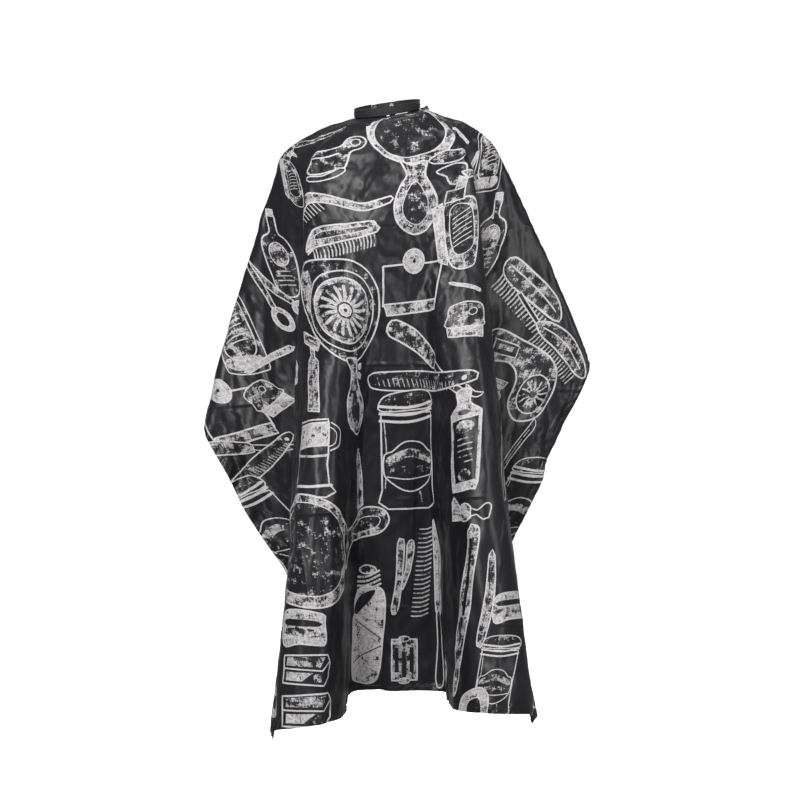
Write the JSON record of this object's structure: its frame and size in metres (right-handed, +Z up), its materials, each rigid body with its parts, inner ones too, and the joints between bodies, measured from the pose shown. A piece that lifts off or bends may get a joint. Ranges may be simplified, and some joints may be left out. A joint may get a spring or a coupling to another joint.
{
  "type": "barber cape",
  "caption": "Draped haircutting cape: one large printed fabric panel gathered into an elastic neckband, closed at the nape by a snap tab.",
  "frame": {"origin": "centre of the neck seam, where the panel is sewn to the neckband", "axes": "-Y is the wearer's front, +X is to the right in a front view, +Z up along the neck"},
  "size_m": [0.8281, 0.4351, 1.3216],
  "materials": {
    "satin": "smooth satin polyester taffeta with a light one-colour print",
    "band_cloth": "ruched taffeta",
    "elastic": "woven elastic tape",
    "snap_plastic": "moulded acetal",
    "label_tape": "blank woven tape"
  },
  "bodies": {
    "cape": {"cape_panel": "satin", "neckband_casing": "band_cloth", "neck_elastic": "elastic", "under_strap": "band_cloth", "snap_stud_1": "snap_plastic", "snap_stud_2": "snap_plastic", "snap_stud_3": "snap_plastic", "snap_stud_4": "snap_plastic", "stud_back_1": "snap_plastic", "stud_back_2": "snap_plastic", "stud_back_3": "snap_plastic", "stud_back_4": "snap_plastic", "care_label": "label_tape"},
    "closure_flap": {"closure_tab": "band_cloth", "snap_socket_1": "snap_plastic", "snap_socket_2": "snap_plastic", "snap_cap_1": "snap_plastic", "snap_cap_2": "snap_plastic"}
  },
  "joints": [
    {"name": "tab_peel", "type": "hinge", "parent": "cape", "child": "closure_flap", "pos_m": [0.02526, 0.06582, 0.03019], "axis": [0, 0, -1], "range_deg": [0, 120]}
  ]
}
